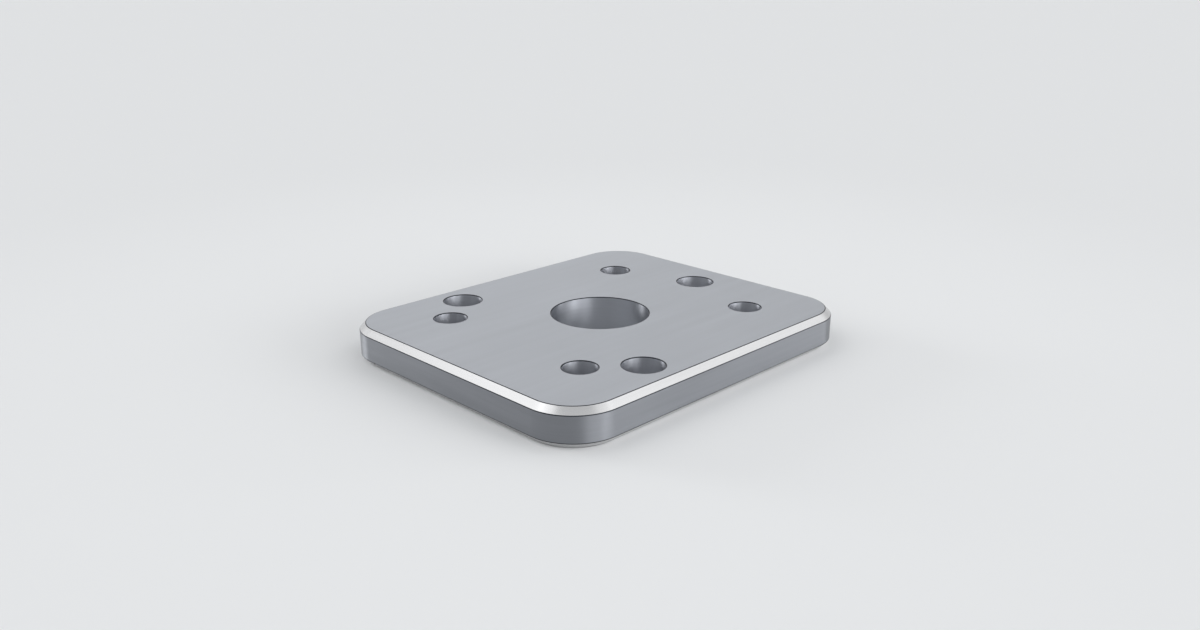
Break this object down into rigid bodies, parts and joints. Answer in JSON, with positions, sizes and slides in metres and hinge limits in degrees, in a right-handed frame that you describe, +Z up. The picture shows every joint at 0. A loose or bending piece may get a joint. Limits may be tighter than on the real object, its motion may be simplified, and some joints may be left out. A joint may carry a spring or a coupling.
{
  "type": "mounting plate",
  "caption": "Flat rectangular mounting plate with rounded, chamfered corners, a plain centre bore, screw holes on a rectangle and more on a circle round the bore.",
  "frame": {"origin": "on the axis of the centre bore, at the plate's bottom face", "axes": "+Z up along the bore and out of the top face, +X along the plate's long side and towards the circle hole that lies on the centreline"},
  "size_m": [0.064, 0.054, 0.006],
  "materials": {
    "aluminium": "satin, fine milled grain"
  },
  "bodies": {
    "root": {"plate": "aluminium"}
  },
  "joints": []
}
